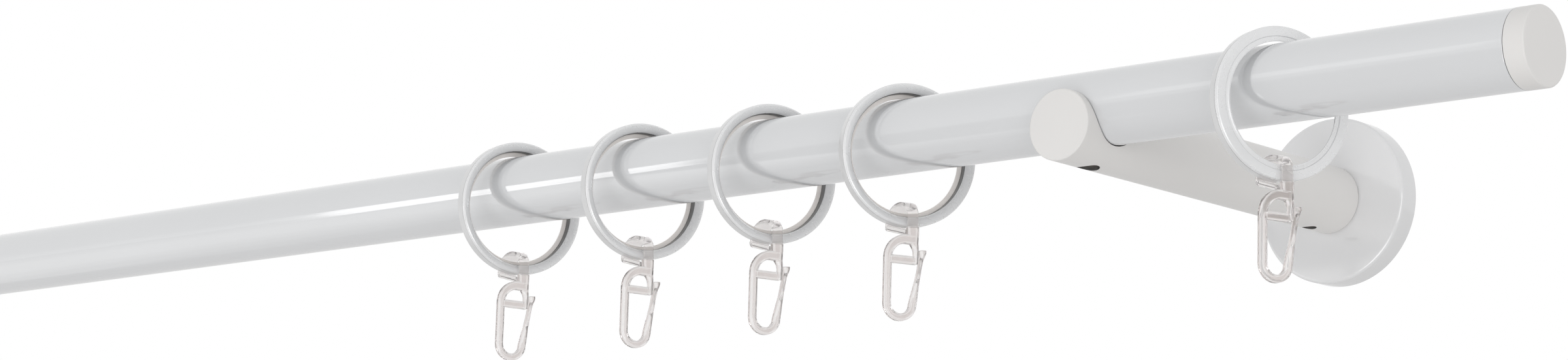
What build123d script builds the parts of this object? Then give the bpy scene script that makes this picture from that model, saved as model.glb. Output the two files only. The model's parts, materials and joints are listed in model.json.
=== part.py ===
from build123d import *
from math import cos, degrees, radians, sin
import os

# Curtain rod set for wall mounting: a tube on two arms, with sliding rings and clip-on pleat hooks.
# Millimetres. +X runs along the rod, +Y points into the wall, +Z is up.
# The origin is on the wall plane, midway between the two brackets, at the height of the arm axes.

# Rod
rod_diameter = 20.0
rod_wall = 1.0
rod_length = 1200.0
rod_to_wall = 119.0

# End caps
cap_head = 5.8
cap_edge = 0.5
cap_plug = 14.0
cap_plug_wall = 1.6
cap_rib_width = 1.2
cap_rib_rise = 0.25
cap_ribs = 3
cap_clearance = 0.05

# Bracket arms
bracket_inset = 134.0  # from the outer face of a cap to the arm axis
arm_diameter = 18.8
arm_edge = 0.4
saddle_floor = 5.2  # metal left under the rod
saddle_lip = 2.8  # metal left in front of the rod
saddle_clearance = 0.1

# Wall fixing
rosette_diameter = 46.8
rosette_depth = 7.2
rosette_wall = 1.5
rosette_edge = 0.9
rosette_wall_gap = 0.1
plate_thickness = 2.5
plate_clearance = 0.5
wall_screw_hole = 4.5
wall_screw_spacing = 28.0
stud_diameter = 10.0
stud_reach = 20.0  # length of the stud inside the arm
stud_collar = 14.0
stud_tenon = 7.0
stud_tenon_recess = 0.3
stud_chamfer = 0.6
stud_flat_depth = 0.6
stud_flat_length = 9.0
stud_clearance = 0.08

# Grub screws
rod_screw_diameter = 6.0
rod_screw_recess = 1.2
rod_screw_key = 3.0
arm_screw_diameter = 4.0
arm_screw_recess = 0.8
arm_screw_key = 2.0
arm_screw_from_rosette = 10.5
screw_clearance = 0.05
screw_tip_gap = 0.05
screw_chamfer = 0.4

# Rings, from the one outside the bracket inwards
ring_offsets = (-58.8, 60.6, 109.2, 158.2, 208.2)  # from the arm axis towards the middle of the rod
ring_turns = (22.0, 25.5, 19.0, 16.0, 15.5)  # each ring hangs turned on the rod, in degrees
ring_play = 11.2  # bore of the liner, over the rod diameter
ring_outer_diameter = 39.0
ring_width = 4.0
ring_lift = 0.3  # gap between the top of the rod and the liner
ring_flat_edge = 0.35
shell_wall = 2.7
face_edge = 0.2  # the dished face starts this far below the ring's side, at the outer edge
face_dip = 1.8  # and ends this far below it, at the bore
face_bulge = 0.5
bore_edge = 0.25
liner_setback = 0.08  # from the ring's flat side
liner_edge = 0.4
liner_slope = 0.2
liner_rim_width = 0.65
liner_rim_front = 0.95  # from the ring's flat side to the front of the rim in its groove
liner_rim_depth = 0.35
liner_clearance = 0.04

# Pleat hooks, measured across and down from the lowest point of the ring
strap_width = 3.0
strap_thickness = 1.3
strap_side = 0.7  # the strap stands this far to the wall side of the ring's lowest point
clip_gap = 0.4
clip_crown = 0.95  # rise of the arch over the ring
clip_lead = 6.5  # the clip winds round the ring and ends this far to the room side, in degrees
clip_lip = 1.4  # reach of the free end under the ring
clip_tail_width = 6.4  # the strap widens to this at its free end
head_margin = 0.15  # the head is this much larger than the strap that comes out of it
hook_thickness = 2.2
bend_radius = 2.75  # inside of the bend at the bottom
bend_drop = 21.2
bend_side = 2.65  # the bend's centre lies this far to the room side
loop_stock = 2.0
bar_drop = 8.3
bar_height = 2.2
shoulder_drop = 2.5
eye_height = 2.7
eye_round = 1.2  # the eye's top is rounded from this far below it
eye_column = 1.25
prong_stock = 0.8
prong_neck_drop = 12.6
prong_neck_side = 2.7
prong_tip_drop = 6.5
prong_tip_side = 3.7
prong_tip_width = 1.6
prong_tip_height = 1.4

rod_radius = rod_diameter / 2
rod_bore_radius = rod_radius - rod_wall
arm_radius = arm_diameter / 2
saddle_radius = rod_radius + saddle_clearance
rod_y = -rod_to_wall
rod_z = -arm_radius + saddle_floor + saddle_radius
arm_x = rod_length / 2 + cap_head - bracket_inset
arm_front_y = rod_y - saddle_radius - saddle_lip
arm_back_y = -rosette_depth
rosette_radius = rosette_diameter / 2
plate_radius = rosette_radius - rosette_wall - plate_clearance
stud_radius = stud_diameter / 2
rosette_floor_y = -(rosette_depth - rosette_wall)
arm_screw_y = arm_back_y - arm_screw_from_rosette
ring_bore_radius = (rod_diameter + ring_play) / 2
ring_radius = ring_outer_diameter / 2
shell_bore_radius = ring_radius - shell_wall
ring_z = rod_z + rod_radius + ring_lift - ring_bore_radius


def round_x(radius, start, end):
    """A round bar along X."""
    return Pos(start, 0, 0) * extrude(Plane.YZ * Circle(radius), end - start)


def round_y(radius, start, end):
    """A round bar along Y."""
    return Pos(0, end, 0) * extrude(Plane.XZ * Circle(radius), end - start)


def round_z(radius, start, end):
    """A round bar along Z."""
    return Pos(0, 0, start) * extrude(Circle(radius), end - start)


def make_rod():
    half = rod_length / 2
    return round_x(rod_radius, -half, half) - round_x(rod_bore_radius, -half, half)


def make_cap():
    """A flat cap for the right end, with its head outside the tube and a ribbed hollow plug inside it."""
    plug_radius = rod_bore_radius - cap_clearance - cap_rib_rise
    head = round_x(rod_radius, 0, cap_head)
    head = fillet(head.edges().group_by(Axis.X)[-1], min(cap_edge, cap_head / 2))
    plug = round_x(plug_radius, -cap_plug, 0)
    plug = chamfer(plug.edges().group_by(Axis.X)[0], min(cap_plug_wall, cap_rib_width) / 2)
    rib_pitch = cap_plug / (cap_ribs + 1)
    for number in range(cap_ribs):
        rib_x = -rib_pitch * (number + 1)
        plug += round_x(plug_radius + cap_rib_rise, rib_x - cap_rib_width / 2, rib_x + cap_rib_width / 2)
    plug -= round_x(plug_radius - cap_plug_wall, -cap_plug, -cap_plug_wall)
    return Pos(rod_length / 2, rod_y, rod_z) * (head + plug)


def make_arm():
    """The arm, a round bar with the saddle for the rod at the front and the socket for the stud behind."""
    arm = round_y(arm_radius, arm_front_y, arm_back_y)
    arm = chamfer(arm.edges().filter_by(GeomType.CIRCLE), arm_edge)
    arm -= Pos(0, rod_y, rod_z) * round_x(saddle_radius, -arm_radius, arm_radius)
    arm -= Pos(0, rod_y, 0) * round_z(rod_screw_diameter / 2, -arm_radius, rod_z)
    arm -= round_y(stud_radius + stud_clearance, arm_back_y - stud_reach - stud_chamfer, arm_back_y)
    arm -= Pos(0, arm_screw_y, 0) * round_z(arm_screw_diameter / 2, -arm_radius, 0)
    return arm


def make_wall_plate():
    """The round plate that is screwed to the wall, with a hole for the stud's rivet in the middle."""
    plate = round_y(plate_radius, -plate_thickness, 0)
    plate -= round_y(stud_tenon / 2, -plate_thickness, 0)
    for side in (-1, 1):
        hole = round_y(wall_screw_hole / 2, -plate_thickness, 0)
        plate -= Pos(0, 0, side * wall_screw_spacing / 2) * hole
    return plate


def make_stud():
    """The stud, riveted into the plate, with a collar behind the rosette and a flat for the grub screw."""
    end_y = arm_back_y - stud_reach
    stud = round_y(stud_radius, end_y, rosette_floor_y)
    stud = chamfer(stud.edges().group_by(Axis.Y)[0], stud_chamfer)
    stud += round_y(stud_collar / 2, rosette_floor_y, -plate_thickness)
    stud += round_y(stud_tenon / 2, -plate_thickness, -stud_tenon_recess)
    flat = Box(stud_diameter, stud_flat_length, stud_flat_depth, align=(Align.CENTER, Align.CENTER, Align.MIN))
    return stud - Pos(0, arm_screw_y, -stud_radius) * flat


def make_rosette():
    """The round cover over the wall plate, a shallow cup that the end of the arm presses on."""
    cup = round_y(rosette_radius, -rosette_depth, -rosette_wall_gap)
    cup = fillet(cup.edges().group_by(Axis.Y)[0], min(rosette_edge, rosette_wall * 0.8))
    cup -= round_y(rosette_radius - rosette_wall, rosette_floor_y, -rosette_wall_gap)
    return cup - round_y(stud_radius + stud_clearance, -rosette_depth, rosette_floor_y)


def make_grub_screw(diameter, key, top, bottom):
    """A headless screw standing upright, with a hexagon socket in its lower end."""
    screw = round_z(diameter / 2 - screw_clearance, bottom, top)
    screw = chamfer(screw.edges().group_by(Axis.Z)[-1], screw_chamfer)
    socket = extrude(RegularPolygon(key / 2, 6, major_radius=False), (top - bottom) / 2)
    return screw - Pos(0, 0, bottom) * socket


def make_rod_screw():
    top = rod_z - rod_radius - screw_tip_gap
    screw = make_grub_screw(rod_screw_diameter, rod_screw_key, top, rod_screw_recess - arm_radius)
    return Pos(0, rod_y, 0) * screw


def make_arm_screw():
    top = -stud_radius + stud_flat_depth - screw_tip_gap
    screw = make_grub_screw(arm_screw_diameter, arm_screw_key, top, arm_screw_recess - arm_radius)
    return Pos(0, arm_screw_y, 0) * screw


def turned(outline):
    """A ring turned round the X axis from its section, drawn as distance along X and radius."""
    return revolve(make_face(outline), Axis.X)


def make_ring_shell(dished_side):
    """The metal ring, dished on one side and flat on the other, with a groove inside for the liner."""
    half = ring_width / 2
    rim = (half - face_edge, ring_radius)
    lip = (half - face_dip, shell_bore_radius)
    across = Vector(*lip) - Vector(*rim)
    crown = Vector(*rim) + across / 2 + Vector(-across.Y, across.X).normalized() * face_bulge
    outline = ThreePointArc(rim, (crown.X, crown.Y), lip)
    outline += Polyline(
        lip,
        (-half + bore_edge, shell_bore_radius),
        (-half, shell_bore_radius + bore_edge),
        (-half, ring_radius - ring_flat_edge),
        (-half + ring_flat_edge, ring_radius),
        rim,
    )
    front = -half + liner_rim_front + liner_clearance
    back = front - liner_rim_width - 2 * liner_clearance
    depth = shell_bore_radius + liner_rim_depth + liner_clearance
    groove = round_x(depth, back, front)
    shell = turned(outline) - groove
    return shell if dished_side > 0 else Rot(0, 0, 180) * shell


def make_ring_liner(dished_side):
    """The plastic glide liner, a flared lip that is held by its rim in the ring's groove."""
    narrow = -ring_width / 2 + liner_setback
    front = -ring_width / 2 + liner_rim_front
    back = front - liner_rim_width
    rim_radius = shell_bore_radius + liner_rim_depth
    seat_radius = shell_bore_radius - liner_clearance
    outline = Polyline(
        (narrow, ring_bore_radius),
        (narrow, ring_bore_radius + liner_edge),
        (back, seat_radius - liner_edge),
        (back, rim_radius),
        (front, rim_radius),
        (front, seat_radius),
        (narrow + liner_slope, ring_bore_radius),
        close=True,
    )
    liner = turned(outline)
    return liner if dished_side > 0 else Rot(0, 0, 180) * liner


def clip_path():
    """The middle of the clip's strap: distance along the ring's axis, radius, turn round it and width."""
    side = ring_width / 2 + clip_gap + strap_thickness / 2
    rim = ring_radius + clip_gap + strap_thickness / 2
    foot = ring_bore_radius + clip_gap
    crown = ring_bore_radius - clip_gap - clip_crown - strap_thickness / 2
    corner = strap_thickness
    path = [(side, rim + strap_thickness), (side, ring_radius), (side, foot)]
    for angle in range(20, 180, 20):
        path.append((side * cos(radians(angle)), foot - (foot - crown) * sin(radians(angle))))
    path += [(-side, foot), (-side, rim - corner)]
    path += [(-side + corner * (1 - cos(radians(45))), rim - corner * (1 - sin(radians(45))))]
    path += [(-side + corner, rim), (-side + corner + clip_lip, rim)]
    first = degrees(strap_side / rim)
    start = 2
    last = len(path) - 1
    found = []
    for number, (along, radius) in enumerate(path):
        share = max(0, number - start) / (last - start)
        turn = first - (first + clip_lead) * share
        found.append((along, radius, turn, strap_width + (clip_tail_width - strap_width) * share))
    return found


def make_clip():
    """The clip, a strap that winds over the ring from its front to its back and ends under its rim."""
    path = clip_path()
    sections = []
    for number, (along, radius, turn, width) in enumerate(path):
        before = path[max(number - 1, 0)]
        after = path[min(number + 1, len(path) - 1)]
        angle = radians(turn)
        outward = Vector(0, sin(angle), -cos(angle))
        way = Vector(after[0] - before[0], 0, 0) + outward * (after[1] - before[1])
        plane = Plane(Vector(along, 0, 0) + outward * radius, (0, cos(angle), sin(angle)), way)
        sections.append(plane * Rectangle(width, strap_thickness))
    return loft(sections, ruled=True)


def loop_section():
    """The hook loop, drawn flat: shoulder and eye, post, bend and springy prong."""
    rim = -ring_radius
    bend_y = rim - bend_drop
    post_out = -bend_side - bend_radius - loop_stock
    bar_top = rim - bar_drop
    bar_bottom = bar_top - bar_height
    top = rim - clip_gap
    half = strap_width / 2 + head_margin
    left = strap_side - half
    right = strap_side + half
    shoulder = left - post_out
    shoulder_y = rim - shoulder_drop - shoulder

    head = Line((right, top), (left, top)) + Line((left, top), (left, shoulder_y + shoulder))
    head += CenterArc((left, shoulder_y), shoulder, 90, 90)
    head += Line((post_out, shoulder_y), (post_out, bar_bottom))
    head += Line((post_out, bar_bottom), (right, bar_bottom)) + Line((right, bar_bottom), (right, top))
    eye_left = post_out + loop_stock
    eye_right = right - eye_column
    eye_top = bar_top + eye_height
    eye_side = eye_top - eye_round
    eye = Line((eye_left, eye_side), (eye_left, bar_top)) + Line((eye_left, bar_top), (eye_right, bar_top))
    eye += Line((eye_right, bar_top), (eye_right, eye_side))
    eye += ThreePointArc((eye_right, eye_side), ((eye_left + eye_right) / 2, eye_top), (eye_left, eye_side))

    post = Pos(post_out + loop_stock / 2, (bar_bottom + bend_y) / 2) * Rectangle(loop_stock, bar_bottom - bend_y)
    bend = Circle(bend_radius + loop_stock) - Circle(bend_radius)
    below = Pos(0, -2 * bend_radius) * Rectangle(4 * bend_radius, 4 * bend_radius)
    bend = Pos(-bend_side, bend_y) * (bend & below)

    root_in = -bend_side + bend_radius
    root_out = root_in + loop_stock
    neck_y = rim - prong_neck_drop
    tip_y = rim - prong_tip_drop
    blade = prong_stock / 2
    tip_left = prong_tip_side - prong_tip_width / 2
    tip_right = prong_tip_side + prong_tip_width / 2
    prong = Polygon(
        (root_in, bend_y),
        (root_out, bend_y),
        (prong_neck_side + blade, neck_y),
        (tip_right, tip_y),
        (tip_left, tip_y),
        (tip_left + prong_stock / 2, tip_y - prong_tip_height),
        (prong_neck_side - blade, neck_y),
        align=None,
    )
    return make_face(head) - make_face(eye) + post + bend + prong


def make_hook():
    """A pleat hook: the clip that rides on the ring, and the loop that takes the curtain tape."""
    front = ring_width / 2 + clip_gap + strap_thickness + head_margin
    loop = Pos(front - hook_thickness, 0, 0) * extrude(Plane.YZ * loop_section(), hook_thickness)
    return make_clip() + loop


def ring_places():
    """Each ring's name, place along the rod, turn and the side that its dished face is on."""
    places = []
    for side, word in ((1, "right"), (-1, "left")):
        for number, (offset, turn) in enumerate(zip(ring_offsets, ring_turns), 1):
            dished_side = side if offset > 0 else -side
            places.append((f"{word}_{number}", side * (arm_x - offset), -side * turn, dished_side))
    return places


os.makedirs("parts", exist_ok=True)

rod = Pos(0, rod_y, rod_z) * make_rod()
export_step(rod, "parts/rod_tube.step")

cap = make_cap()
export_step(cap, "parts/end_cap_right.step")
export_step(Rot(0, 0, 180) * Pos(0, -2 * rod_y, 0) * cap, "parts/end_cap_left.step")

bracket = {
    "bracket_arm": make_arm(),
    "wall_plate": make_wall_plate(),
    "plate_stud": make_stud(),
    "rosette": make_rosette(),
    "rod_screw": make_rod_screw(),
    "arm_screw": make_arm_screw(),
}
for name, piece in bracket.items():
    export_step(Pos(arm_x, 0, 0) * piece, f"parts/{name}_right.step")
    export_step(Pos(-arm_x, 0, 0) * piece, f"parts/{name}_left.step")

shells = {side: make_ring_shell(side) for side in (1, -1)}
liners = {side: make_ring_liner(side) for side in (1, -1)}
hook = make_hook()
for name, x, turn, dished_side in ring_places():
    place = Pos(x, rod_y, ring_z) * Rot(0, 0, turn)
    export_step(place * shells[dished_side], f"parts/ring_shell_{name}.step")
    export_step(place * liners[dished_side], f"parts/ring_liner_{name}.step")
    export_step(place * hook, f"parts/curtain_hook_{name}.step")
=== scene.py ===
"""The finish of a curtain rod set: lacquered tube, arms, rosettes, lined rings and clear pleat hooks."""
import json
import math

import bmesh
import bpy
from mathutils import Matrix, Vector


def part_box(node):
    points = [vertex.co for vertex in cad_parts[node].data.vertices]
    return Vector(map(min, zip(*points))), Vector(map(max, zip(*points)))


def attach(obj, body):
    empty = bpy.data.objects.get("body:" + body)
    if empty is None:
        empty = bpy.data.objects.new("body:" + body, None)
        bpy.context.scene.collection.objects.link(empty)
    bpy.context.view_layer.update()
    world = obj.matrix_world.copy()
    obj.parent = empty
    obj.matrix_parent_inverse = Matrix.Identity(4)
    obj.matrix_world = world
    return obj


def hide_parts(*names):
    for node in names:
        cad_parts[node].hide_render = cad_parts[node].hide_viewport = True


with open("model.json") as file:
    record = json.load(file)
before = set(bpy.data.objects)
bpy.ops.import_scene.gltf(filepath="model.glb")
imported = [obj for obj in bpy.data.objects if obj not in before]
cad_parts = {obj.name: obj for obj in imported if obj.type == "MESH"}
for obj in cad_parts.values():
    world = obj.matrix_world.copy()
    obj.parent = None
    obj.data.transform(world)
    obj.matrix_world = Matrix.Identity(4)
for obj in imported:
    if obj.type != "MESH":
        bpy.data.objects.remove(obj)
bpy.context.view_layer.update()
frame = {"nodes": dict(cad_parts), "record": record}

MM = 0.001

# Sizes in millimetres, as the solids have them, but for the cap's seam and the saddle's wider gap
ROD_RADIUS = 10.0
ROD_WALL = 1.0
ROD_END_ROUND = 0.18
CAP_HEAD = 5.8
CAP_EDGE = 0.5
CAP_SEAM = 0.2
CAP_PLUG = 14.0
CAP_PLUG_GAP = 0.3
CAP_PLUG_EDGE = 0.6
ARM_RADIUS = 9.4
ARM_EDGE = 0.45
# The saddle is cut wider than the solid's, so that its painted shade shows as a dark line along the rod.
SADDLE_RADIUS = 10.25
STUD_BORE_RADIUS = 5.08
STUD_BORE_DEPTH = 20.6
ROD_SCREW_RADIUS = 3.0
ARM_SCREW_RADIUS = 2.0
ROSETTE_RADIUS = 23.4
ROSETTE_DEPTH = 7.2
ROSETTE_WALL = 1.5
ROSETTE_WALL_GAP = 0.1
ROSETTE_EDGE = 1.0
ROSETTE_BACK_EDGE = 0.25
ROSETTE_BORE_EDGE = 0.1
ROSETTE_INNER_EDGE = 0.5
ROSETTE_MOUTH_EDGE = 0.2

# The rings, as distance along their axis from the middle and radius, with the dished face towards +X
RING_RADIUS = 19.5
RING_HALF_WIDTH = 2.0
SHELL_BORE = 16.8
FACE_EDGE = 0.2
FACE_DIP = 1.8
FACE_BULGE = 0.35
FACE_ROLL = 0.4
CREASE_PLACE = 0.9
CREASE_WIDTH = 0.12
CREASE_DEPTH = 0.07
FLAT_EDGE = 0.3
BORE_EDGE = 0.25
# Below this radius the shell is dark: partly bare metal, partly painted shade in the bore.
BARE_AND_SHADE_RADIUS = 16.9
LINER_BORE = 15.6
LINER_SETBACK = 0.08
LINER_EDGE = 0.4
LINER_SLOPE = 0.2
LINER_GAP = 0.04
LINER_RIM_WIDTH = 0.3
LINER_RIM_FRONT = 0.5
LINER_RIM_DEPTH = 0.35
LINER_RIM_ROUND = 0.05
LINER_TIP_ROUND = 0.06
LINER_LIP_ROUND = 0.1
LINER_FACE_ROUND = 0.08

# The hooks, measured across and down from the lowest point of the ring
STRAP_WIDTH = 3.0
STRAP_THICKNESS = 1.3
STRAP_SIDE = 0.7
CLIP_GAP = 0.4
CLIP_CROWN = 0.95
CLIP_FILL = 0.4
CLIP_LEAD = 6.5
CLIP_LIP = 1.4
CLIP_TAIL_WIDTH = 6.4
HEAD_MARGIN = 0.15
LOOP_THICKNESS = 2.2
LOOP_STOCK = 2.0
BEND_RADIUS = 2.75
BEND_DROP = 21.2
BEND_SIDE = 2.65
SHOULDER_DROP = 2.5
SHOULDER_WIDTH = 2.6
SHOULDER_LAP = 0.4
SHOULDER_SAG = 0.1
BAR_DROP = 9.4
BAR_HEIGHT = 2.2
BAR_MIDDLE = -2.0
BAR_INSET = 0.3
COLUMN_WIDTH = 1.25
COLUMN_LAP = 0.9
NECK_INSET = 0.1
POST_DROPS = (10.4, 12.6, 15.2, 17.6, 19.4, 20.4)

# The hook's springy prong, from the bend up to its thick tip, as (across, drop, width)
PRONG = (
    (1.26, 20.3, 1.9),
    (1.55, 18.8, 1.7),
    (2.02, 16.2, 1.25),
    (2.4, 14.2, 0.95),
    (2.7, 12.6, 0.8),
    (3.0, 10.8, 0.8),
    (3.3, 9.2, 0.9),
    (3.6, 8.0, 1.4),
    (3.7, 7.2, 1.8),
    (3.7, 6.55, 1.8),
)

# The hook's neck, from the strap to the column beside the eye, as (across from the strap, drop, width)
NECK = ((0.05, 2.4, 3.2), (0.35, 4.4, 2.5), (0.975, 6.6, 1.4))

# How finely round forms are drawn: faces in a turn, degrees, or steps in a stretch
TURNS = 224
SADDLE_TURNS = 256
HOLE_TURNS = 64
SHARP_ANGLE = 38.0
EDGE_STEPS = 8
ARM_EDGE_STEPS = 5
BEND_ANGLE_STEP = 15
CLIP_ANGLE_STEP = 20
CLIP_STEPS = 5
LOOP_STEPS = 6
BAR_ROUND = 0.55
BAR_ROUND_STEPS = 5
BAR_ROUND_SHARE = 0.9
SIDE_SHARE = 0.49
ON_AXIS = 1e-6
CUT_SLACK = 1.01
FACING = 0.5

# The finish of a face, by its number in the piece's list of finishes
# Finish number one of a cap, an arm or a turned ring's liner is the dark finish, which paints shade.
COATED, PAINTED_SHADE = 0, 1
SHELL_BAND, SHELL_PEARL, SHELL_BARE_AND_SHADE = 0, 1, 2
# A hook's edges are painted lighter than its flats as a painted highlight; the flats' darker tint is partly
# painted shade.
HOOK_FLAT, HOOK_EDGE_HIGHLIGHT, HOOK_CLIP = 0, 1, 2

# The camera, from the middle of the right cap's outer face, in millimetres and degrees
CAMERA_FROM_CAP = (456.73, -779.08, -206.06)
CAMERA_TURN = 41.755
CAMERA_RISE = -10.769
CAMERA_ROLL = 1.7455
SENSOR_WIDTH = 36.0
LENS = 88.62
NEAREST = 0.01
FARTHEST = 200

# The room, in metres, and its even light from below, from the side and from above
LAMP_DISTANCE = 2.6
FLOOR_DROP = 2.2
FLOOR_REACH = 60.0
FLOOR_WHITE = 0.6
WHITE = (1, 1, 1, 1)
SKY_STRENGTH = 1.14
SKY_STOPS = ((0.0, (0.66, 0.65, 0.64)), (0.5, (0.84, 0.84, 0.84)), (1.0, (0.48, 0.485, 0.49)))


class Field:
    """A value that changes over a surface: one output of a shader node, with sums and products on it."""

    def __init__(self, nodes, socket):
        self.nodes = nodes
        self.socket = socket

    def math(self, operation, other):
        return self.nodes.add("ShaderNodeMath", {"operation": operation}, {0: self, 1: other})

    def __add__(self, other):
        return self.math("ADD", other)

    def __mul__(self, other):
        return self.math("MULTIPLY", other)

    __radd__ = __add__
    __rmul__ = __mul__


class Nodes:
    """A shader node tree that is filled node by node."""

    def __init__(self, tree):
        self.tree = tree

    def add(self, kind, settings=None, inputs=None, output=0):
        """Adds a node, sets its settings, then gives its sockets their values or links."""
        node = self.tree.nodes.new(kind)
        for name, value in (settings or {}).items():
            if name == "stops":
                self.set_stops(node.color_ramp, value)
            else:
                setattr(node, name, value)
        for name, value in (inputs or {}).items():
            self.feed(node.inputs[name], value)
        return Field(self, node.outputs[output]) if node.outputs else None

    def set_stops(self, ramp, stops):
        while len(ramp.elements) < len(stops):
            ramp.elements.new(1.0)
        for element, (place, colour) in zip(ramp.elements, stops):
            element.position = place
            element.color = (*colour, 1)

    def feed(self, socket, value):
        if isinstance(value, Field):
            self.tree.links.new(value.socket, socket)
        else:
            socket.default_value = value


class Finish(Nodes):
    """One material with a Principled shader, built up from fields."""

    def __init__(self, name, **sockets):
        self.material = bpy.data.materials.new(name)
        self.material.use_nodes = True
        super().__init__(self.material.node_tree)
        self.shader = self.tree.nodes["Principled BSDF"]
        self.set(**sockets)

    def set(self, **sockets):
        for name, value in sockets.items():
            self.feed(self.shader.inputs[name.replace("_", " ")], value)

    def noise(self, size, detail, stretch=(1, 1, 1)):
        """Soft blotches of about the given size in millimetres."""
        scale = [axis / (size * MM) for axis in stretch]
        place = self.add("ShaderNodeTexCoord", output="Object")
        at = self.add("ShaderNodeVectorMath", {"operation": "MULTIPLY"}, {0: place, 1: scale})
        return self.add("ShaderNodeTexNoise", {}, {"Vector": at, "Scale": 1.0, "Detail": detail})

    def tint(self, amount, dark, light):
        """A colour between dark and light, by amount; the Mix node's colour sockets go by number."""
        settings = {"data_type": "RGBA", "clamp_factor": True}
        return self.add("ShaderNodeMix", settings, {0: amount, 6: (*dark, 1), 7: (*light, 1)}, 2)

    def bump(self, height, depth, strength):
        """A surface normal for a relief of the given depth in millimetres."""
        inputs = {"Height": height, "Distance": depth * MM, "Strength": strength}
        return self.add("ShaderNodeBump", {}, inputs)


def rod_lacquer():
    """Glossy white lacquer with a faint orange peel."""
    finish = Finish("rod_lacquer", IOR=2.35, Coat_Roughness=0.04)
    cloud = finish.noise(60, detail=3)
    peel = finish.noise(1.6, detail=1.5)
    speck = finish.noise(0.5, detail=2)
    finish.set(
        Base_Color=finish.tint(cloud, dark=(0.65, 0.658, 0.67), light=(0.675, 0.683, 0.695)),
        Roughness=0.05 + 0.04 * cloud + 0.02 * speck,
        Coat_Weight=0.85 + 0.1 * cloud,
        Normal=finish.bump(peel, depth=0.012, strength=0.25),
    )
    return finish.material


def powder_coat(name, dark, light, index, roughness):
    """Powder coat, satin or glossier: a fine even grain and slight clouding."""
    finish = Finish(name, IOR=index)
    cloud = finish.noise(14, detail=3)
    grains = finish.noise(0.35, detail=2)
    finish.set(
        Base_Color=finish.tint(0.7 * cloud + 0.3 * grains, dark, light),
        Roughness=roughness * (1 + 0.35 * cloud),
        Normal=finish.bump(grains, depth=0.006, strength=0.5),
    )
    return finish.material


def ring_lacquer():
    """White lacquer on the outer band of a ring."""
    finish = Finish("ring_lacquer", IOR=1.52, Coat_Roughness=0.06)
    cloud = finish.noise(5, detail=3)
    peel = finish.noise(0.9, detail=2)
    finish.set(
        Base_Color=finish.tint(cloud, dark=(0.65, 0.651, 0.653), light=(0.68, 0.681, 0.683)),
        Roughness=0.2 + 0.1 * cloud,
        Coat_Weight=0.5 + 0.2 * cloud,
        Normal=finish.bump(peel, depth=0.01, strength=0.06),
    )
    return finish.material


def pearl_face():
    """The ring's dished face: thin pearl lacquer that lets the turned metal under it gleam."""
    finish = Finish("pearl_face", IOR=1.52, Coat_Roughness=0.08)
    cloud = finish.noise(5, detail=3)
    peel = finish.noise(0.9, detail=2)
    finish.set(
        Base_Color=finish.tint(cloud, dark=(0.77, 0.774, 0.78), light=(0.81, 0.813, 0.818)),
        Metallic=0.2 + 0.2 * cloud,
        Roughness=0.22 + 0.1 * cloud,
        Coat_Weight=0.3 + 0.2 * cloud,
        Normal=finish.bump(peel, depth=0.01, strength=0.12),
    )
    return finish.material


def bare_metal_and_shade():
    """Dark metal: the ring's bore, partly bare metal and partly painted shade, and painted shade in the
    ring's groove, the cap's seam, the saddle, the screw holes and a turned ring's liner.
    """
    finish = Finish("bare_metal_and_shade", IOR=1.5)
    patch = finish.noise(2.5, detail=4)
    lathe_lines = finish.noise(0.12, detail=2, stretch=(4, 0.2, 0.2))
    finish.set(
        Base_Color=finish.tint(patch, dark=(0.17, 0.17, 0.172), light=(0.30, 0.298, 0.295)),
        Metallic=0.7 + 0.3 * patch,
        Roughness=0.22 + 0.2 * lathe_lines,
        Normal=finish.bump(lathe_lines, depth=0.01, strength=0.4),
    )
    return finish.material


def glide_plastic():
    """The smooth pinkish-white glide liner, a little cloudy from moulding."""
    finish = Finish("glide_plastic", IOR=1.48)
    cloud = finish.noise(4, detail=3)
    scuff = finish.noise(0.6, detail=3)
    finish.set(
        Base_Color=finish.tint(cloud, dark=(0.87, 0.825, 0.79), light=(0.91, 0.875, 0.845)),
        Roughness=0.28 + 0.15 * scuff,
        Normal=finish.bump(scuff, depth=0.006, strength=0.4),
    )
    return finish.material


def clear_plastic(name, index, clearness, dullness, dark, light):
    """Clear plastic with a faint pink tint, flow ripples and a few cloudy patches."""
    finish = Finish(name, IOR=index, Transmission_Weight=clearness)
    cloud = finish.noise(2.6, detail=3)
    ripple = finish.noise(0.9, detail=2)
    finish.set(
        Base_Color=finish.tint(cloud, dark, light),
        Roughness=dullness + 0.06 * cloud,
        Normal=finish.bump(ripple, depth=0.01, strength=0.08),
    )
    return finish.material


def hook_plastics():
    """One clear plastic in three finishes: the hook's flats, darker, partly its pink tint and partly painted
    shade, its edges, lighter as a painted highlight, and the frosted clip.
    """
    tint_and_shade = {"dark": (0.66, 0.61, 0.595), "light": (0.76, 0.715, 0.70)}
    edge_highlight = {"dark": (0.86, 0.835, 0.825), "light": (0.92, 0.905, 0.90)}
    milky = {"dark": (0.82, 0.795, 0.785), "light": (0.89, 0.87, 0.865)}
    return [
        clear_plastic("clear_plastic", index=1.4, clearness=0.88, dullness=0.04, **tint_and_shade),
        clear_plastic("painted_edge_highlight", index=1.4, clearness=0.86, dullness=0.1, **edge_highlight),
        clear_plastic("frosted_clip", index=1.2, clearness=0.84, dullness=0.1, **milky),
    ]


def plated_steel(name, dark, light):
    """Bare plated steel with fine scratches and dull patches."""
    finish = Finish(name, Metallic=1.0)
    patch = finish.noise(6, detail=4)
    scratch = finish.noise(0.3, detail=2, stretch=(1, 1, 6))
    finish.set(
        Base_Color=finish.tint(patch, dark, light),
        Roughness=0.3 + 0.2 * scratch,
        Normal=finish.bump(scratch, depth=0.008, strength=0.4),
    )
    return finish.material


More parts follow.
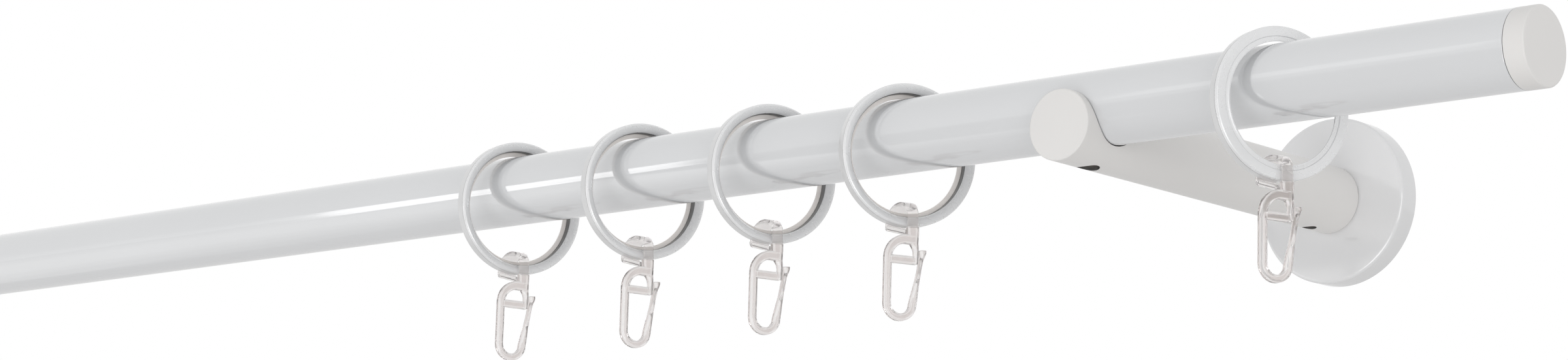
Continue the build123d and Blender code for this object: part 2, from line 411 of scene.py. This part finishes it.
def floor_paint():
    """Pale matt paint that only shows from above, and is paler in reflections, as the background is."""
    finish = Finish("floor_paint", Roughness=0.9)
    cloud = finish.noise(900, detail=3)
    finish.set(Base_Color=finish.tint(cloud, dark=(0.71, 0.705, 0.70), light=(0.75, 0.745, 0.74)))
    painted = Field(finish, finish.shader.outputs[0])
    white = finish.add("ShaderNodeEmission", {}, {"Color": WHITE, "Strength": 1.0})
    mirrored = FLOOR_WHITE * finish.add("ShaderNodeLightPath", output="Is Glossy Ray")
    above = finish.add("ShaderNodeMixShader", {}, {0: mirrored, 1: painted, 2: white})
    under = finish.add("ShaderNodeNewGeometry", output="Backfacing")
    clear = finish.add("ShaderNodeBsdfTransparent")
    both = finish.add("ShaderNodeMixShader", {}, {0: under, 1: above, 2: clear})
    finish.feed(finish.tree.nodes["Material Output"].inputs[0], both)
    return finish.material


def rounded(corners, steps=6):
    """A closed outline from (along, radius, rounding) corners, each rounded as it says."""
    outline = []
    count = len(corners)
    for number, (x, y, radius) in enumerate(corners):
        if radius <= 0:
            outline.append((x, y))
            continue
        here = Vector((x, y))
        before = Vector(corners[number - 1][:2]) - here
        after = Vector(corners[(number + 1) % count][:2]) - here
        half = before.angle(after) / 2
        reach = min(radius / math.tan(half), before.length * SIDE_SHARE, after.length * SIDE_SHARE)
        start = here + before.normalized() * reach
        end = here + after.normalized() * reach
        inward = (before.normalized() + after.normalized()).normalized()
        middle = here + inward * (reach / math.cos(half))
        for step in range(steps + 1):
            spoke = (start - middle).lerp(end - middle, step / steps)
            spoke = spoke.normalized() * (start - middle).length
            outline.append(tuple(middle + spoke))
    return outline


def quarter_round(along, radius, width, height, steps):
    """Points of a quarter round about a middle, from its top over to its side."""
    found = []
    for step in range(steps + 1):
        angle = math.pi / 2 * step / steps
        found.append((along + width * math.sin(angle), radius + height * math.cos(angle)))
    return found


def bowed(start, end, bulge, steps=10):
    """Points from start to end on a line that bows out to its left by the bulge."""
    start, end = Vector(start), Vector(end)
    way = end - start
    left = Vector((-way.y, way.x)).normalized()
    found = []
    for step in range(steps + 1):
        part = step / steps
        found.append(tuple(start + way * part + left * (4 * bulge * part * (1 - part))))
    return found


def make_mesh(name, points, faces, sharp=SHARP_ANGLE):
    """A closed mesh in metres from points in millimetres, smooth but for its sharp edges."""
    mesh = bpy.data.meshes.new(name)
    mesh.from_pydata([Vector(point) * MM for point in points], [], faces)
    smooth(mesh, sharp)
    shape = bmesh.new()
    shape.from_mesh(mesh)
    bmesh.ops.recalc_face_normals(shape, faces=shape.faces)
    shape.to_mesh(mesh)
    shape.free()
    return mesh


def smooth(mesh, sharp):
    """Shades a mesh smooth, apart from edges sharper than the angle in degrees."""
    mesh.polygons.foreach_set("use_smooth", [True] * len(mesh.polygons))
    mesh.set_sharp_from_angle(angle=math.radians(sharp))
    mesh.update()


def lathe(name, outline, closed, turns=TURNS, sharp=SHARP_ANGLE):
    """Turns an outline of (along, radius) points round the X axis; an open one begins and ends on it."""
    points, rows = [], []
    for along, radius in outline:
        if radius < ON_AXIS:
            rows.append([len(points)] * turns)
            points.append((along, 0, 0))
            continue
        rows.append(list(range(len(points), len(points) + turns)))
        for turn in range(turns):
            angle = 2 * math.pi * turn / turns
            points.append((along, radius * math.cos(angle), radius * math.sin(angle)))
    faces = []
    pairs = list(zip(rows, rows[1:]))
    if closed:
        pairs.append((rows[-1], rows[0]))
    for lower, upper in pairs:
        for turn in range(turns):
            after = (turn + 1) % turns
            corners = [lower[turn], lower[after], upper[after], upper[turn]]
            faces.append(list(dict.fromkeys(corners)))
    return make_mesh(name, points, faces, sharp)


def at(x, y, z):
    """A place in the part's frame, in millimetres."""
    return Matrix.Translation(Vector((x, y, z)) * MM)


def set_down(name, mesh, place):
    """A new object of a mesh, at a place in the scene."""
    piece = bpy.data.objects.new(name, mesh)
    bpy.context.scene.collection.objects.link(piece)
    piece.matrix_world = place
    bpy.context.view_layer.update()
    return piece


def combined(mesh, operation, tools):
    """A new mesh: the given one joined with or cut by (mesh, place) tools, one after the other."""
    piece = set_down("work", mesh, Matrix())
    helpers = [set_down("tool", tool, place) for tool, place in tools]
    for helper in helpers:
        modifier = piece.modifiers.new("BOOLEAN", "BOOLEAN")
        modifier.operation = operation
        modifier.solver = "EXACT"
        modifier.object = helper
    graph = bpy.context.evaluated_depsgraph_get()
    result = bpy.data.meshes.new_from_object(piece.evaluated_get(graph))
    for used in (piece, *helpers):
        bpy.data.objects.remove(used)
    return result


def rod_mesh(half_length):
    """The rod's tube, with softly rounded ends."""
    inner = ROD_RADIUS - ROD_WALL
    corners = [
        (-half_length, inner, ROD_END_ROUND),
        (half_length, inner, ROD_END_ROUND),
        (half_length, ROD_RADIUS, ROD_END_ROUND),
        (-half_length, ROD_RADIUS, ROD_END_ROUND),
    ]
    return lathe("rod_tube", rounded(corners, steps=4), True)


def cap_mesh():
    """The right cap, from the end of the tube outward, with its plug inside the tube."""
    plug = ROD_RADIUS - ROD_WALL - CAP_PLUG_GAP
    outline = [(-CAP_PLUG, 0), (-CAP_PLUG, plug - CAP_PLUG_EDGE)]
    outline += [(-CAP_PLUG + CAP_PLUG_EDGE, plug), (0, plug)]
    outline += [(0, ROD_RADIUS - 2 * CAP_SEAM), (CAP_SEAM, ROD_RADIUS)]
    outline += quarter_round(CAP_HEAD - CAP_EDGE, ROD_RADIUS - CAP_EDGE, CAP_EDGE, CAP_EDGE, EDGE_STEPS)
    outline.append((CAP_HEAD, 0))
    mesh = lathe("end_cap", outline, False)
    # The seam's faces take the dark finish: a painted shade line between the tube and the cap.
    for face in mesh.polygons:
        face.material_index = PAINTED_SHADE if 0 < face.center.x / MM < CAP_SEAM else COATED
    return mesh


def arm_mesh(front, back, rod_y, rod_z, screw_y):
    """The arm in its own place across the wall, with saddle and screw holes cut."""
    edge = quarter_round(front + ARM_EDGE, ARM_RADIUS - ARM_EDGE, -ARM_EDGE, ARM_EDGE, ARM_EDGE_STEPS)
    outline = [(front, 0), *reversed(edge)]
    outline += [(back - ARM_EDGE, ARM_RADIUS), (back, ARM_RADIUS - ARM_EDGE), (back, STUD_BORE_RADIUS)]
    outline += [(back - STUD_BORE_DEPTH, STUD_BORE_RADIUS), (back - STUD_BORE_DEPTH, 0)]
    bar = lathe("bracket_arm", outline, False)
    bar.transform(Matrix.Rotation(math.pi / 2, 4, "Z"))
    reach = 3 * ARM_RADIUS
    trough = [(-reach, 0), (-reach, SADDLE_RADIUS), (reach, SADDLE_RADIUS), (reach, 0)]
    cuts = [(lathe("saddle", trough, False, SADDLE_TURNS), at(0, rod_y, rod_z))]
    upright = Matrix.Rotation(-math.pi / 2, 4, "Y")
    holes = ((rod_y, ROD_SCREW_RADIUS), (screw_y, ARM_SCREW_RADIUS))
    for hole_y, radius in holes:
        bore = [(-reach, 0), (-reach, radius), (0, radius), (0, 0)]
        cuts.append((lathe("hole", bore, False, HOLE_TURNS), at(0, hole_y, 0) @ upright))
    mesh = combined(bar, "DIFFERENCE", cuts)
    smooth(mesh, sharp=30)
    # The saddle's faces and the screw holes' walls take the dark finish: painted shade in the gap round the
    # rod and inside the holes.
    for face in mesh.polygons:
        spot = face.center / MM
        near_hole = any(math.hypot(spot.x, spot.y - y) < radius * CUT_SLACK for y, radius in holes)
        in_hole = near_hole and abs(face.normal.z) < FACING
        in_saddle = math.hypot(spot.y - rod_y, spot.z - rod_z) < SADDLE_RADIUS * CUT_SLACK
        face.material_index = PAINTED_SHADE if in_saddle or in_hole else COATED
    return mesh


def rosette_mesh():
    """The rosette's cup, with its axis along Y and its open back at zero."""
    inner = ROSETTE_RADIUS - ROSETTE_WALL
    floor = -ROSETTE_DEPTH + ROSETTE_WALL
    corners = [
        (-ROSETTE_WALL_GAP, ROSETTE_RADIUS, ROSETTE_BACK_EDGE),
        (-ROSETTE_DEPTH, ROSETTE_RADIUS, ROSETTE_EDGE),
        (-ROSETTE_DEPTH, STUD_BORE_RADIUS, ROSETTE_BORE_EDGE),
        (floor, STUD_BORE_RADIUS, ROSETTE_BORE_EDGE),
        (floor, inner, ROSETTE_INNER_EDGE),
        (-ROSETTE_WALL_GAP, inner, ROSETTE_MOUTH_EDGE),
    ]
    mesh = lathe("rosette", rounded(corners), True)
    mesh.transform(Matrix.Rotation(math.pi / 2, 4, "Z"))
    return mesh


def shell_mesh(crease):
    """The ring's metal shell, dished towards +X, with a fine groove round it that begins at the crease."""
    half = RING_HALF_WIDTH
    brow = RING_RADIUS - FACE_ROLL
    corners = [
        (-half, SHELL_BORE + BORE_EDGE, 0),
        (-half, RING_RADIUS, FLAT_EDGE),
        (crease, RING_RADIUS, 0),
        (crease + CREASE_WIDTH / 2, RING_RADIUS - CREASE_DEPTH, 0),
        (crease + CREASE_WIDTH, RING_RADIUS, 0),
    ]
    outline = rounded(corners, steps=5)
    roll_width = half - FACE_EDGE - CREASE_PLACE
    outline += quarter_round(CREASE_PLACE, brow, roll_width, FACE_ROLL, EDGE_STEPS)[1:-1]
    outline += bowed((half - FACE_EDGE, brow), (half - FACE_DIP, SHELL_BORE), FACE_BULGE)
    outline.append((-half + BORE_EDGE, SHELL_BORE))
    mesh = lathe("ring_shell", outline, True, sharp=32)
    for face in mesh.polygons:
        radius = math.hypot(face.center.y, face.center.z) / MM
        along = face.center.x / MM
        in_groove = radius > RING_RADIUS - CREASE_DEPTH and crease < along < crease + CREASE_WIDTH
        beyond_groove = abs(along) > CREASE_PLACE and along * crease > 0
        # The groove takes the dark finish as a painted shade line; below the given radius the bore and the
        # foot of the dished face take it too, partly bare metal and partly painted shade.
        if radius < BARE_AND_SHADE_RADIUS or in_groove:
            face.material_index = SHELL_BARE_AND_SHADE
        elif beyond_groove or radius < RING_RADIUS - FLAT_EDGE:
            face.material_index = SHELL_PEARL
        else:
            face.material_index = SHELL_BAND
    return mesh


def liner_mesh():
    """The ring's glide liner, a flared lip on a rim that sits in the shell's groove."""
    narrow = -RING_HALF_WIDTH + LINER_SETBACK
    front = -RING_HALF_WIDTH + LINER_RIM_FRONT
    back = front - LINER_RIM_WIDTH
    rim = SHELL_BORE + LINER_RIM_DEPTH
    seat = SHELL_BORE - LINER_GAP
    corners = [
        (narrow, LINER_BORE, LINER_TIP_ROUND),
        (narrow, LINER_BORE + LINER_EDGE, LINER_LIP_ROUND),
        (back, seat - LINER_EDGE, 0),
        (back, rim, LINER_RIM_ROUND),
        (front, rim, LINER_RIM_ROUND),
        (front, seat, LINER_FACE_ROUND),
        (narrow + LINER_SLOPE, LINER_BORE, LINER_FACE_ROUND),
    ]
    return lathe("ring_liner", rounded(corners, steps=4), True, sharp=50)


def shaded_liner_copy(liner):
    """A copy of the liner in painted shade: its lip in the ring's own pearl finish and its bore in the dark
    finish.
    """
    mesh = liner.copy()
    for face in mesh.polygons:
        face.material_index = COATED if abs(face.normal.x) > FACING else PAINTED_SHADE
    return mesh


def flow(points, steps):
    """More points along a smooth line through the given ones, each with the numbers that go with it."""
    found = []
    last = len(points) - 1
    for number in range(last):
        near = [points[min(max(number + shift, 0), last)] for shift in (-1, 0, 1, 2)]
        before, start, end, after = [Vector(point) for point in near]
        for step in range(steps):
            way = step / steps
            swing = before - 2.5 * start + 2 * end - 0.5 * after
            settle = 1.5 * (start - end) + 0.5 * (after - before)
            found.append(start + 0.5 * way * (end - before) + way ** 2 * swing + way ** 3 * settle)
    return [*found, Vector(points[last])]


def heading(points, number):
    """The way from the point before a point to the point after it."""
    return points[min(number + 1, len(points) - 1)] - points[max(number - 1, 0)]


def plump(stations):
    """A bar with round corners through (middle, half width, half thickness), closed at its ends; its corners
    take the painted highlight.
    """
    points, faces = [], []
    for middle, wide, thick in stations:
        corner = min(BAR_ROUND, BAR_ROUND_SHARE * wide.length, BAR_ROUND_SHARE * thick.length)
        across, along = wide.normalized(), thick.normalized()
        for quarter in range(4):
            turn = math.pi / 2 * quarter
            to_right = 1 if quarter in (0, 3) else -1
            to_front = 1 if quarter in (0, 1) else -1
            spot = middle + to_right * (wide - across * corner) + to_front * (thick - along * corner)
            for step in range(BAR_ROUND_STEPS + 1):
                angle = turn + math.pi / 2 * step / BAR_ROUND_STEPS
                points.append(spot + corner * (across * math.cos(angle) + along * math.sin(angle)))
    sides = 4 * (BAR_ROUND_STEPS + 1)
    for number in range(len(stations) - 1):
        base = number * sides
        for side in range(sides):
            after = (side + 1) % sides
            faces.append((base + side, base + after, base + sides + after, base + sides + side))
    faces.append(tuple(range(sides)))
    faces.append(tuple(range(len(points) - sides, len(points))))
    mesh = make_mesh("bar", points, faces)
    for number, face in enumerate(mesh.polygons):
        on_corner = number % (BAR_ROUND_STEPS + 1) < BAR_ROUND_STEPS and len(face.vertices) == 4
        face.material_index = HOOK_EDGE_HIGHLIGHT if on_corner else HOOK_FLAT
    return mesh


def loop_bar(path, thickness):
    """A bar of the hook's flat loop, through points across and down from the ring with the bar's width."""
    drawn = flow(path, LOOP_STEPS)
    middle = RING_HALF_WIDTH + CLIP_GAP + STRAP_THICKNESS + HEAD_MARGIN - LOOP_THICKNESS / 2
    thick = Vector((thickness / 2, 0, 0))
    stations = []
    for number, (across, drop, width) in enumerate(drawn):
        onward = heading(drawn, number)
        way = Vector((0, onward.x, -onward.y)).normalized()
        place = Vector((middle, across, -RING_RADIUS - drop))
        stations.append((place, way.cross(thick).normalized() * width / 2, thick))
    return plump(stations)


def clip_route():
    """Points of the clip's strap: along the ring's axis, radius, turn, width and thickness."""
    side = RING_HALF_WIDTH + CLIP_GAP + STRAP_THICKNESS / 2
    rim = RING_RADIUS + CLIP_GAP + STRAP_THICKNESS / 2
    foot = LINER_BORE + CLIP_GAP
    rise = 2 * CLIP_GAP + CLIP_CROWN + STRAP_THICKNESS / 2
    path = [(side, rim + STRAP_THICKNESS, 0), (side, RING_RADIUS, 0), (side, foot, 0)]
    straight = len(path) - 1
    for angle in range(CLIP_ANGLE_STEP, 180, CLIP_ANGLE_STEP):
        along = side * math.cos(math.radians(angle))
        height = math.sin(math.radians(angle))
        path.append((along, foot - rise * height, CLIP_FILL * height ** 3))
    path += [(-side, foot, 0), (-side, rim - STRAP_THICKNESS, 0)]
    path += [(-side + STRAP_THICKNESS, rim, 0), (-side + STRAP_THICKNESS + CLIP_LIP, rim, 0)]
    first = math.degrees(STRAP_SIDE / rim)
    winding = len(path) - 1 - straight
    route = []
    for number, (along, radius, fill) in enumerate(path):
        share = max(0, number - straight) / winding
        turn = first - (first + CLIP_LEAD) * share
        width = STRAP_WIDTH + (CLIP_TAIL_WIDTH - STRAP_WIDTH) * share
        route.append((along, radius + fill / 2, turn, width, STRAP_THICKNESS + fill))
    return route


def clip_bar():
    """The clip: a strap up the ring's front, over it and down its back, winding aside as it widens."""
    drawn = flow(clip_route(), CLIP_STEPS)
    stations = []
    for number, (along, radius, turn, width, thickness) in enumerate(drawn):
        onward = heading(drawn, number)
        angle = math.radians(turn)
        out = Vector((0, math.sin(angle), -math.cos(angle)))
        wide = Vector((0, math.cos(angle), math.sin(angle)))
        way = Vector((onward[0], 0, 0)) + out * onward[1]
        thick = way.cross(wide).normalized() * thickness / 2
        stations.append((Vector((along, 0, 0)) + out * radius, wide * width / 2, thick))
    mesh = plump(stations)
    mesh.polygons.foreach_set("material_index", [HOOK_CLIP] * len(mesh.polygons))
    return mesh


def bend(across, drop, outside, angles, widths):
    """Points of a round bend with its outer radius, by angles that grow from the right over the top."""
    steps = round(abs(angles[1] - angles[0]) / BEND_ANGLE_STEP)
    found = []
    for step in range(steps + 1):
        share = step / steps
        angle = math.radians(angles[0] + (angles[1] - angles[0]) * share)
        width = widths[0] + (widths[1] - widths[0]) * share
        radius = outside - width / 2
        found.append((across + radius * math.cos(angle), drop - radius * math.sin(angle), width))
    return found


def hook_mesh():
    """A pleat hook: the bars of its loop, its neck and its clip, run together as a mould leaves them."""
    post = -BEND_SIDE - BEND_RADIUS - LOOP_STOCK / 2
    head = STRAP_WIDTH + 2 * HEAD_MARGIN
    left = STRAP_SIDE - head / 2
    column = STRAP_SIDE + head / 2 - COLUMN_WIDTH / 2
    shoulder = left - post + LOOP_STOCK / 2
    top = SHOULDER_DROP + SHOULDER_WIDTH / 2 + SHOULDER_SAG
    loop = [(STRAP_SIDE + SHOULDER_LAP, top, SHOULDER_WIDTH)]
    loop += bend(left, SHOULDER_DROP + shoulder, shoulder, (90, 180), (SHOULDER_WIDTH, LOOP_STOCK))
    loop += [(post, drop, LOOP_STOCK) for drop in POST_DROPS]
    loop += bend(-BEND_SIDE, BEND_DROP, BEND_RADIUS + LOOP_STOCK, (180, 360), (LOOP_STOCK, LOOP_STOCK))
    loop += PRONG
    bar = [(across, BAR_DROP, BAR_HEIGHT) for across in (post, BAR_MIDDLE, column)]
    neck = [(STRAP_SIDE, CLIP_GAP, head)]
    neck += [(STRAP_SIDE + across, drop, width) for across, drop, width in NECK]
    neck.append((column, BAR_DROP + COLUMN_LAP, COLUMN_WIDTH))
    bars = [
        loop_bar(loop, LOOP_THICKNESS),
        loop_bar(bar, LOOP_THICKNESS - BAR_INSET),
        loop_bar(neck, LOOP_THICKNESS - NECK_INSET),
        clip_bar(),
    ]
    plastics = hook_plastics()
    for mesh in bars:
        for plastic in plastics:
            mesh.materials.append(plastic)
    mesh = combined(bars[0], "UNION", [(tool, Matrix()) for tool in bars[1:]])
    smooth(mesh, sharp=40)
    return mesh


def node_box(node):
    """A node's lowest and highest corner in millimetres."""
    return [Vector(corner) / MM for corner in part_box(node)]


def put(name, mesh, finishes, place, body, node):
    """Shows a mesh on a body in place of its solid; a mesh that already has its finishes keeps them."""
    piece = set_down(name, mesh, place)
    if not mesh.materials:
        for finish in finishes:
            mesh.materials.append(finish)
    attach(piece, body)
    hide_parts(node)


def dress_solids():
    """Gives every solid a steel finish; the wall plates, studs and screws stay as they are and show it."""
    zinc = plated_steel("zinc_steel", dark=(0.50, 0.50, 0.51), light=(0.66, 0.66, 0.67))
    screw_steel = plated_steel("screw_steel", dark=(0.13, 0.11, 0.09), light=(0.30, 0.26, 0.22))
    for name, node in frame["nodes"].items():
        node.data.materials.clear()
        is_plate = name.startswith(("wall_plate", "plate_stud"))
        node.data.materials.append(zinc if is_plate else screw_steel)


def dress_rod_and_brackets(bare_and_shade):
    """Puts the tube, caps, arms and rosettes in place, and returns the middle of the right cap's face."""
    satin = powder_coat(
        "satin_coat", dark=(0.775, 0.76, 0.743), light=(0.807, 0.793, 0.778), index=1.5, roughness=0.34
    )
    gloss = powder_coat(
        "rosette_coat", dark=(0.74, 0.74, 0.745), light=(0.77, 0.77, 0.775), index=2.1, roughness=0.1
    )
    body = "rod_and_brackets"
    low, high = node_box("rod_tube")
    axis = (low + high) / 2
    rod = rod_mesh(high.x)
    put("rod", rod, [rod_lacquer()], at(0, axis.y, axis.z), body, "rod_tube")
    cap = cap_mesh()
    for side, end, turn in (("right", high.x, 0), ("left", low.x, math.pi)):
        place = at(end, axis.y, axis.z) @ Matrix.Rotation(turn, 4, "Z")
        put(f"cap_{side}", cap, [satin, bare_and_shade], place, body, f"end_cap_{side}")

    arm_low, arm_high = node_box("bracket_arm_right")
    screw_low, screw_high = node_box("arm_screw_right")
    arm = arm_mesh(arm_low.y, arm_high.y, axis.y, axis.z, (screw_low.y + screw_high.y) / 2)
    rosette = rosette_mesh()
    for side in ("right", "left"):
        arm_low, arm_high = node_box(f"bracket_arm_{side}")
        place = at((arm_low.x + arm_high.x) / 2, 0, 0)
        put(f"arm_{side}", arm, [satin, bare_and_shade], place, body, f"bracket_arm_{side}")
        put(f"cover_{side}", rosette, [gloss], place, body, f"rosette_{side}")
    return Vector((high.x + CAP_HEAD, axis.y, axis.z))


def dress_rings(bare_and_shade):
    """Puts the rings and hooks in place; the outermost ring of each side is turned round."""
    pearl = pearl_face()
    coats = [ring_lacquer(), pearl, bare_and_shade]
    shell, turned_shell = shell_mesh(CREASE_PLACE - CREASE_WIDTH), shell_mesh(-CREASE_PLACE)
    liner, hook = liner_mesh(), hook_mesh()
    shaded_turned_liner = shaded_liner_copy(liner)
    glide = glide_plastic()
    for joint in frame["record"]["behaviour"]["joints"]:
        if not joint["name"].startswith("hook_"):
            continue
        name = joint["child"].removeprefix("hook_")
        ring = f"ring_{name}"
        outermost = name.endswith("_1")
        turn = math.atan2(joint["axis"][1], joint["axis"][0])
        place = Matrix.Translation(joint["pos_m"]) @ Matrix.Rotation(turn, 4, "Z")
        dished_right = name.startswith("right") != outermost
        facing = place @ Matrix.Rotation(0 if dished_right else math.pi, 4, "Z")
        metal = turned_shell if outermost else shell
        # The outermost rings' liners are shown greyer and darker than the glide plastic: painted shade.
        lining, plastic = (shaded_turned_liner, [pearl, bare_and_shade]) if outermost else (liner, [glide])
        put(f"shell_{name}", metal, coats, facing, ring, f"ring_shell_{name}")
        put(f"liner_{name}", lining, plastic, facing, ring, f"ring_liner_{name}")
        put(f"hook_piece_{name}", hook, [], place, f"hook_{name}", f"curtain_hook_{name}")


def take_picture(cap_face):
    """The camera at the place and angle that the photograph was taken from."""
    turn, rise, roll = [math.radians(angle) for angle in (CAMERA_TURN, CAMERA_RISE, CAMERA_ROLL)]
    right = Vector((math.cos(turn), math.sin(turn), 0))
    back = Vector((math.sin(turn) * math.cos(rise), -math.cos(turn) * math.cos(rise), math.sin(rise)))
    up = back.cross(right)
    rolled_right = math.cos(roll) * right + math.sin(roll) * up
    rolled_up = math.cos(roll) * up - math.sin(roll) * right
    data = bpy.data.cameras.new("camera")
    data.sensor_width = SENSOR_WIDTH
    data.sensor_fit = "HORIZONTAL"
    data.lens = LENS
    data.clip_start = NEAREST
    data.clip_end = FARTHEST
    place = Matrix((rolled_right, rolled_up, back)).transposed().to_4x4()
    place.translation = (cap_face + Vector(CAMERA_FROM_CAP)) * MM
    bpy.context.scene.camera = set_down("camera", data, place)


def softbox(name, target, turn, rise, size, radiance):
    """A soft lamp that shines on a target from a turn to the left of the room and a rise above it."""
    turn, rise = math.radians(turn), math.radians(rise)
    way = Vector((-math.sin(turn) * math.cos(rise), -math.cos(turn) * math.cos(rise), math.sin(rise)))
    data = bpy.data.lights.new(name, "AREA")
    data.shape = "RECTANGLE"
    data.size, data.size_y = size
    data.energy = radiance * math.pi * data.size * data.size_y
    place = (-way).to_track_quat("-Z", "Y").to_matrix().to_4x4()
    place.translation = target * MM + way * LAMP_DISTANCE
    set_down(name, data, place).visible_camera = False


def hang_lamps(cap_face):
    """Two lamps for the streaks in the lacquer, a pale window to the left, and fill from front and right."""

    def left_of_cap(distance):
        return cap_face - Vector((distance, 0, 0))

    softbox("band_lamp", left_of_cap(45), turn=26, rise=13, size=(0.42, 0.5), radiance=0.27)
    softbox("streak_lamp", left_of_cap(336), turn=40.9, rise=-1.5, size=(0.46, 0.6), radiance=1.5)
    for step, rise in enumerate((-30, -24, -18, -12)):
        name = f"window_lamp_{step}"
        softbox(name, left_of_cap(400), turn=62, rise=rise, size=(2.3, 1.7), radiance=0.1)
    softbox("front_lamp", left_of_cap(160), turn=-10, rise=-32, size=(1.9, 1.0), radiance=2.3)
    softbox("right_lamp", left_of_cap(120), turn=-58, rise=-4, size=(1.6, 1.3), radiance=1.5)


def light_room():
    """Even light from all round, in front of a background that is white to the eye and in reflections."""
    world = bpy.data.worlds.new("studio")
    bpy.context.scene.world = world
    world.use_nodes = True
    nodes = Nodes(world.node_tree)
    nodes.tree.nodes.clear()
    seen = nodes.add("ShaderNodeLightPath", output="Is Camera Ray")
    for kind in ("Is Glossy Ray", "Is Transmission Ray"):
        seen = seen + nodes.add("ShaderNodeLightPath", output=kind)
    ray = nodes.add("ShaderNodeTexCoord", output="Generated")
    height = nodes.add("ShaderNodeSeparateXYZ", {}, {0: ray}, 2)
    sky = nodes.add("ShaderNodeValToRGB", {"stops": SKY_STOPS}, {0: 0.5 + 0.5 * height})
    lit = nodes.add("ShaderNodeBackground", {}, {"Color": sky, "Strength": SKY_STRENGTH})
    plain = nodes.add("ShaderNodeBackground", {}, {"Color": WHITE, "Strength": 1.0})
    both = nodes.add("ShaderNodeMixShader", {}, {0: seen, 1: lit, 2: plain})
    nodes.add("ShaderNodeOutputWorld", {}, {"Surface": both})


def lay_floor():
    """A pale floor far below."""
    reach = FLOOR_REACH
    corners = [(-reach, -reach, 0), (reach, -reach, 0), (reach, reach, 0), (-reach, reach, 0)]
    mesh = bpy.data.meshes.new("floor")
    mesh.from_pydata(corners, [], [(0, 1, 2, 3)])
    mesh.materials.append(floor_paint())
    floor = set_down("floor", mesh, Matrix.Translation((0, 0, -FLOOR_DROP)))


bare_and_shade = bare_metal_and_shade()
dress_solids()
cap_face = dress_rod_and_brackets(bare_and_shade)
dress_rings(bare_and_shade)
take_picture(cap_face)
hang_lamps(cap_face)
light_room()
lay_floor()
bpy.context.scene.view_settings.view_transform = "Standard"
